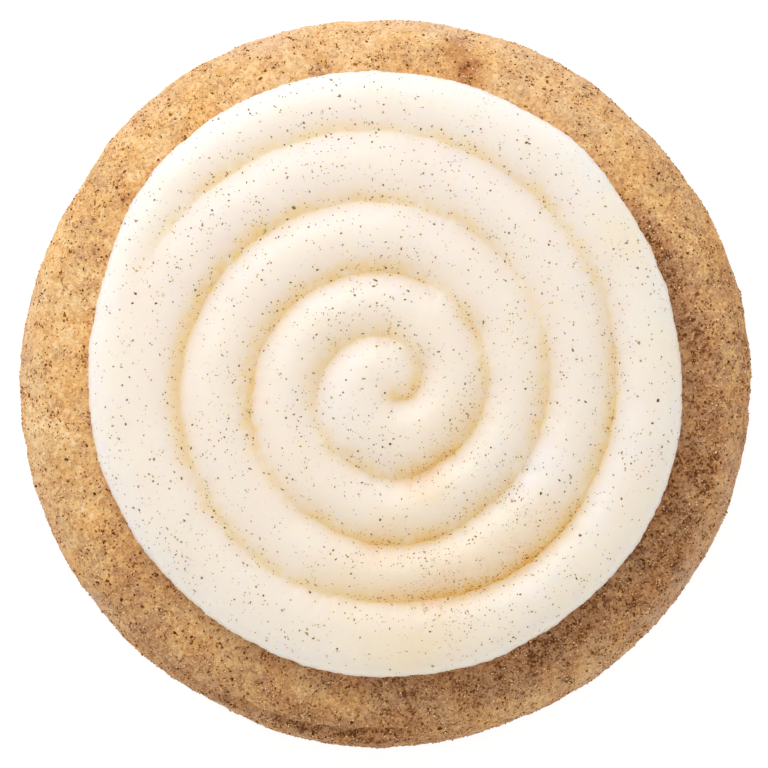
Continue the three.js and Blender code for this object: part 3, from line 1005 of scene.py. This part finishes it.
def grain_sizes(limits, count, rng):
    """Sizes between two limits, with many small ones and few large."""
    return between(*limits, rng.beta(*SIZE_SPREAD, count))


# Materials


def linear(hex_colour):
    """An sRGB hex value as linear red, green, blue and alpha."""
    channels = [int(hex_colour[start:start + 2], 16) / 255 for start in (1, 3, 5)]
    return tuple(c / 12.92 if c <= 0.04045 else ((c + 0.055) / 1.055) ** 2.4 for c in channels) + (1.0,)


def add_node(tree, kind, settings=(), links=()):
    """Adds a node. Settings and links go by a property's name, or by a socket's name or number."""
    node = tree.nodes.new("ShaderNode" + kind)
    for key, value in dict(settings).items():
        if isinstance(key, str) and hasattr(node, key):
            setattr(node, key, value)
        else:
            node.inputs[key].default_value = value
    for key, output in dict(links).items():
        tree.links.new(output, node.inputs[key])
    return node


def per_metre(size):
    """Texture scale for a pattern whose features are size millimetres across."""
    return 1 / (size * MM)


def new_material(name, settings):
    """A material, with what is the same all over its surface set on its shader."""
    material = bpy.data.materials.new(name)
    material.use_nodes = True
    tree = material.node_tree
    shader = tree.nodes["Principled BSDF"]
    for socket, value in settings.items():
        shader.inputs[socket].default_value = value
    return material, tree, shader


def stained(tree, surface, stains):
    """Mixes the colour of each stain, mark or painted shade into a surface, as much as the attribute of its
    name says.
    """
    for stain, colour in stains:
        amount = add_node(tree, "Attribute", {"attribute_name": stain})
        surface = add_node(
            tree,
            "Mix",
            {"data_type": "RGBA", MIX_B: linear(colour)},
            {MIX_FACTOR: amount.outputs["Fac"], MIX_A: surface.outputs[MIX_RESULT]},
        )
    return surface


def crumb_material():
    """Soft baked sugar dough rolled in cinnamon sugar: matte and sandy, pale tan toasting to brown, with
    painted shade carried in its browning.
    """
    material, tree, shader = new_material(
        "baked snickerdoodle crumb", {"Roughness": 0.85, "Specular IOR Level": 0.12}
    )
    place = add_node(tree, "TexCoord").outputs["Object"]
    # brown: the browning attribute, which also holds painted shade
    brown = add_node(tree, "Attribute", {"attribute_name": "browning_and_shade"}).outputs["Fac"]
    crumbs = add_node(tree, "TexVoronoi", {"Scale": per_metre(CRUMB_SIZE)}, {"Vector": place})
    grit = add_node(tree, "TexNoise", {"Scale": per_metre(GRIT_SIZE), "Detail": 2.0}, {"Vector": place})
    patterns = ((crumbs.outputs["Color"], CRUMB_CONTRAST), (grit.outputs["Fac"], GRIT_CONTRAST))
    for pattern, amount in patterns:
        limits = {"To Min": -amount / 2, "To Max": amount / 2}
        even = add_node(tree, "MapRange", limits, {"Value": pattern}).outputs["Result"]
        brown = add_node(tree, "Math", {"operation": "ADD"}, {0: brown, 1: even}).outputs[0]
    ramp = add_node(tree, "ValToRGB", links={"Fac": brown})
    stops = ramp.color_ramp.elements
    for position, toast in CRUMB_TOASTS[1:-1]:
        stops.new(position)
    for stop, (position, toast) in zip(stops, CRUMB_TOASTS):
        stop.color = linear(toast)

    drift = add_node(tree, "TexNoise", {"Scale": per_metre(CAST_SIZE), "Detail": 3.0}, {"Vector": place})
    warmth = add_node(
        tree,
        "MapRange",
        {"From Min": CAST_RANGE[0], "From Max": CAST_RANGE[1]},
        {"Value": drift.outputs["Fac"]},
    )
    cast = add_node(
        tree,
        "Mix",
        {"data_type": "RGBA", MIX_A: WHITE, MIX_B: linear("#FFF4E4")},
        {MIX_FACTOR: warmth.outputs["Result"]},
    )
    toasted = add_node(
        tree,
        "Mix",
        {"data_type": "RGBA", "blend_type": "MULTIPLY", MIX_FACTOR: 1.0},
        {MIX_A: ramp.outputs["Color"], MIX_B: cast.outputs[MIX_RESULT]},
    )
    surface = stained(tree, toasted, CRUMB_MARKS)
    tree.links.new(surface.outputs[MIX_RESULT], shader.inputs["Base Color"])
    rough = add_node(
        tree,
        "Bump",
        {"Strength": 0.6, "Distance": GRIT_HEIGHT * MM},
        {"Height": grit.outputs["Fac"]},
    )
    tree.links.new(rough.outputs["Normal"], shader.inputs["Normal"])
    return material


def frosting_material():
    """Whipped cream frosting, piped: ivory, smooth and satin, with light that spreads softly inside it."""
    material, tree, shader = new_material(
        "whipped cream frosting",
        {
            "Roughness": 0.45,
            "IOR": 1.45,
            "Specular IOR Level": 0.8,
            "Subsurface Weight": 1.0,
            "Subsurface Radius": (1.0, 0.75, 0.4),
            "Subsurface Scale": LIGHT_REACH * MM,
        },
    )
    place = add_node(tree, "TexCoord").outputs["Object"]
    cream = add_node(tree, "TexNoise", {"Scale": per_metre(CREAM_SIZE), "Detail": 3.0}, {"Vector": place})
    ivory = add_node(
        tree,
        "Mix",
        {"data_type": "RGBA", MIX_A: linear("#F5E9E4"), MIX_B: linear("#F3E3DB")},
        {MIX_FACTOR: cream.outputs["Fac"]},
    )
    # Some of these stains are painted warm shade
    surface = stained(tree, ivory, FROSTING_STAINS_AND_SHADES)
    tree.links.new(surface.outputs[MIX_RESULT], shader.inputs["Base Color"])
    whip = add_node(tree, "TexNoise", {"Scale": per_metre(WHIP_SIZE), "Detail": 2.0}, {"Vector": place})
    skin = add_node(
        tree,
        "Bump",
        {"Strength": 0.15, "Distance": WHIP_HEIGHT * MM},
        {"Height": whip.outputs["Fac"]},
    )
    tree.links.new(skin.outputs["Normal"], shader.inputs["Normal"])
    return material


def cinnamon_material():
    """Ground cinnamon bark: dry matte flakes, dull brown on cream, baked warmer and darker on crumb."""
    material, tree, shader = new_material(
        "ground cinnamon", {"Roughness": 0.9, "Specular IOR Level": 0.02}
    )
    tint = add_node(tree, "Attribute", {"attribute_name": "tint"})
    baked = add_node(tree, "Attribute", {"attribute_name": "baked"})
    dry_shade, baked_shade = (
        add_node(
            tree,
            "Mix",
            {"data_type": "RGBA", MIX_A: linear(dark), MIX_B: linear(light)},
            {MIX_FACTOR: tint.outputs["Fac"]},
        ).outputs[MIX_RESULT]
        for dark, light in CINNAMON_SHADES
    )
    bark = add_node(
        tree,
        "Mix",
        {"data_type": "RGBA"},
        {MIX_FACTOR: baked.outputs["Fac"], MIX_A: dry_shade, MIX_B: baked_shade},
    )
    surface = stained(tree, bark, CINNAMON_STAINS)
    tree.links.new(surface.outputs[MIX_RESULT], shader.inputs["Base Color"])
    return material


def sugar_material():
    """Granulated sugar: small clear crystals that take the colour of the crumb under them; the palest colour
    stands for their glint, a painted highlight.
    """
    material, tree, shader = new_material(
        "granulated sugar", {"Roughness": 0.5, "IOR": 1.54, "Specular IOR Level": 0.08}
    )
    tint = add_node(tree, "Attribute", {"attribute_name": "tint"})
    # Painted glint: the pale end of this mix stands for light glinting off the crystals
    colour = add_node(
        tree,
        "Mix",
        {"data_type": "RGBA", MIX_A: linear("#C88E50"), MIX_B: linear("#FFE0B4")},
        {MIX_FACTOR: tint.outputs["Fac"]},
    )
    tree.links.new(colour.outputs[MIX_RESULT], shader.inputs["Base Color"])
    return material


def floor_material():
    """Opal acrylic lit from below, as a light table: plain white, with only a faint shadow on it."""
    settings = {
        "Base Color": linear("#7C7C7C"),
        "Roughness": 0.8,
        "Emission Color": WHITE,
        "Emission Strength": FLOOR_GLOW,
    }
    return new_material("lit opal acrylic", settings)[0]


# Pieces


def new_piece(name, vertices, faces, material, attributes):
    """A smooth-shaded mesh piece in metres that rides with the cookie."""
    mesh = bpy.data.meshes.new(name)
    mesh.from_pydata((np.asarray(vertices) * MM).tolist(), [], faces)
    for label, values in attributes.items():
        layer = mesh.attributes.new(label, "FLOAT", "POINT")
        layer.data.foreach_set("value", np.asarray(values, np.float32))
    mesh.shade_smooth()
    mesh.materials.append(material)
    piece = bpy.data.objects.new(name, mesh)
    bpy.context.scene.collection.objects.link(piece)
    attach(piece, "root")
    return piece


def triangles_of(faces):
    """Faces with three or four corners as triangles."""
    fans = [((face[0], face[1], face[2]), (face[0], face[2], face[-1])) for face in faces]
    return np.array([triangle for fan in fans for triangle in fan if len(set(triangle)) == 3])


def clumped(points, layers, seed, level, lift, most):
    """A pattern of clumps, with a level between them and up to most above it inside them."""
    return level + np.clip(sum_of_lumps(layers, points, seed) + lift, 0, most)


def by_browning_and_shade(browning_and_shade, added, least, most):
    return np.clip(browning_and_shade + added, least, most)


def fall_on_frosting(middles, normals, stain):
    """Cinnamon falls from above in drifts, and gathers where the grooves are stained and painted with warm
    shade.
    """
    drifts = clumped(middles * (1, 1, 0), DRIFT_CLUMPS, DRIFT_SEED, *DRIFT_LEVELS)
    on_top = np.clip(normals[:, 2], 0, 1) * (middles[:, 2] > COOKIE_HEIGHT + EDGE_WAIST)
    more = 1 + sum_of_spots(CINNAMON_DRIFTS, middles[:, 0], middles[:, 1])
    return on_top * (drifts * more + STAIN_GATHERS * stain)


def coating(middles, normals):
    """The coating lies in clumps on the ring and thins out down the side."""
    radius = np.hypot(middles[:, 0], middles[:, 1])
    clump = clumped(middles, COATING_CLUMPS, COATING_SEED, *COATING_LEVELS)
    side = between(COATING_SIDE_SHARE, 1, smoothstep(normals[:, 2], 0, COATING_FULL_FACING))
    return clump * side * (radius > COVERED_RADIUS) * (middles[:, 2] > COATING_FROM_HEIGHT)


def cinnamon_on_cookie(middles, normals, browning_and_shade):
    """Cinnamon shows most where the crust is brown or painted darker for shade."""
    return coating(middles, normals) * by_browning_and_shade(browning_and_shade, *CINNAMON_BY_BROWNING_AND_SHADE)


def sugar_on_cookie(middles, normals, browning_and_shade):
    """Sugar shows most where the crust is brown or painted darker for shade, and less on the side where it
    was rubbed off.
    """
    around = degrees_between(degrees_of(middles[:, 0], middles[:, 1]), SUGAR_RUBBED_ANGLE)
    left = 1 - SUGAR_RUBBED * bump(around, SUGAR_RUBBED_HALF_SPREAD)
    return coating(middles, normals) * by_browning_and_shade(browning_and_shade, *SUGAR_BY_BROWNING_AND_SHADE) * left


def add_cookie():
    """Adds the baked round. Its vertices, triangles and browning with painted shade go to the grains that
    lie on it.
    """
    vertices, faces = cookie_surface()
    plan = vertices.T[:2]
    tones = {
        "browning_and_shade": cookie_browning_and_shade(*vertices.T),
        "caramel": sum_of_patches(CARAMEL_SPOTS, *plan),
        "toffee": sum_of_patches(TOFFEE_SPOTS, *plan),
        "paler_rim": sum_of_bands(PALER_RIM_BANDS, *plan),
    }
    cookie = new_piece("cookie_crumb", vertices, faces, crumb_material(), tones)
    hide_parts("cookie")
    return vertices, triangles_of(faces), tones["browning_and_shade"]


def add_frosting():
    """Adds the swirl. Its vertices, triangles and stains go to the grains that lie on it."""
    vertices, faces, stains = frosting_surface()
    frosting = new_piece("frosting_swirl", vertices, faces, frosting_material(), stains)
    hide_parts("frosting")
    return vertices, np.array(faces), stains["syrup_and_shade"] * SYRUP_AND_SHADE_GATHERS + stains["cinnamon"]


def add_cinnamon(crumb, swirl, rng):
    """Adds the cinnamon that was sprinkled on the swirl and the cinnamon that the cookie was rolled in."""
    fallen, fallen_normals = scatter(*swirl, fall_on_frosting, CINNAMON_ON_FROSTING, rng)
    rolled, rolled_normals = scatter(*crumb, cinnamon_on_cookie, CINNAMON_ON_COOKIE, rng)
    fallen_sizes = grain_sizes(CINNAMON_SIZES_ON_FROSTING, CINNAMON_ON_FROSTING, rng)
    rolled_sizes = grain_sizes(CINNAMON_SIZES_ON_COOKIE, CINNAMON_ON_COOKIE, rng)
    plan = fallen.T[:2]
    drifted = np.clip(sum_of_spots(CINNAMON_DRIFTS, *plan), 0, DRIFT_MOST)
    fallen_sizes *= 1 - DRIFT_FINENESS * drifted
    places = np.concatenate([fallen, rolled])
    normals = np.concatenate([fallen_normals, rolled_normals])
    sizes = np.concatenate([fallen_sizes, rolled_sizes])
    shape, faces = flake()
    vertices, numbers = grains(places, normals, sizes, shape, faces, *CINNAMON_FORM, rng)

    tint = rng.random(len(places))
    soaked = STAINED_WARMTH * np.clip(sum_of_spots(RUST_PATCHES, *plan), 0, 1)
    rusty = soaked * (rng.random(len(fallen)) < RUSTY_SHARE)
    shades = {
        "tint": tint,
        "baked": np.concatenate([soaked, np.ones(len(rolled))]),
        "rusty": np.concatenate([rusty, np.zeros(len(rolled))]),
    }
    shades = {name: np.repeat(shade, len(shape)) for name, shade in shades.items()}
    cinnamon = new_piece("ground_cinnamon", vertices, numbers.tolist(), cinnamon_material(), shades)


def add_sugar(crumb, rng):
    """Adds the sugar that the cookie was rolled in."""
    places, normals = scatter(*crumb, sugar_on_cookie, SUGAR_ON_COOKIE, rng)
    sizes = grain_sizes(SUGAR_SIZES, len(places), rng)
    shape, faces = crystal()
    vertices, numbers = grains(places, normals, sizes, shape, faces, *SUGAR_FORM, rng)
    # the few bright crystals carry a painted glint
    tint = rng.random(len(places)) ** SUGAR_TINT_AND_GLINT_POWER
    shades = {"tint": np.repeat(tint, len(shape))}
    sugar = new_piece("sugar_grains", vertices, numbers.tolist(), sugar_material(), shades)
    sugar.data.shade_flat()


def build_pieces():
    rng = np.random.default_rng(GRAIN_SEED)
    crumb = add_cookie()
    swirl = add_frosting()
    add_cinnamon(crumb, swirl, rng)
    add_sugar(crumb, rng)


# Stage


def add_camera():
    """Looks straight down."""
    data = bpy.data.cameras.new("camera")
    data.sensor_width = SENSOR_WIDTH
    data.lens = SENSOR_WIDTH * (CAMERA_HEIGHT - WAIST_HEIGHT) / FRAME_WIDTH
    camera = bpy.data.objects.new("camera", data)
    camera.location = Vector((*CAMERA_PLACE, CAMERA_HEIGHT)) * MM
    bpy.context.scene.collection.objects.link(camera)
    bpy.context.scene.camera = camera


def add_light():
    """One large soft lamp, and an even light from all round."""
    data = bpy.data.lights.new("key", "AREA")
    data.shape = "DISK"
    data.size = KEY_SIZE * MM
    data.energy = KEY_POWER
    key = bpy.data.objects.new("key", data)
    azimuth = math.radians(KEY_AZIMUTH)
    elevation = math.radians(KEY_ELEVATION)
    level = math.cos(elevation)
    direction = Vector((level * math.cos(azimuth), level * math.sin(azimuth), math.sin(elevation)))
    key.location = direction * (KEY_DISTANCE * MM)
    key.rotation_euler = direction.to_track_quat("Z", "Y").to_euler()
    bpy.context.scene.collection.objects.link(key)
    world = bpy.data.worlds.new("soft room light")
    world.use_nodes = True
    background = world.node_tree.nodes["Background"]
    background.inputs["Color"].default_value = WHITE
    background.inputs["Strength"].default_value = FILL_STRENGTH
    bpy.context.scene.world = world


def add_floor():
    half = FLOOR_SIZE * MM / 2
    corners = [(x * half, y * half, 0) for x, y in ((-1, -1), (1, -1), (1, 1), (-1, 1))]
    mesh = bpy.data.meshes.new("floor")
    mesh.from_pydata(corners, [], [(0, 1, 2, 3)])
    mesh.materials.append(floor_material())
    floor = bpy.data.objects.new("floor", mesh)
    bpy.context.scene.collection.objects.link(floor)


build_pieces()
add_camera()
add_light()
add_floor()
bpy.context.scene.view_settings.view_transform = "Standard"
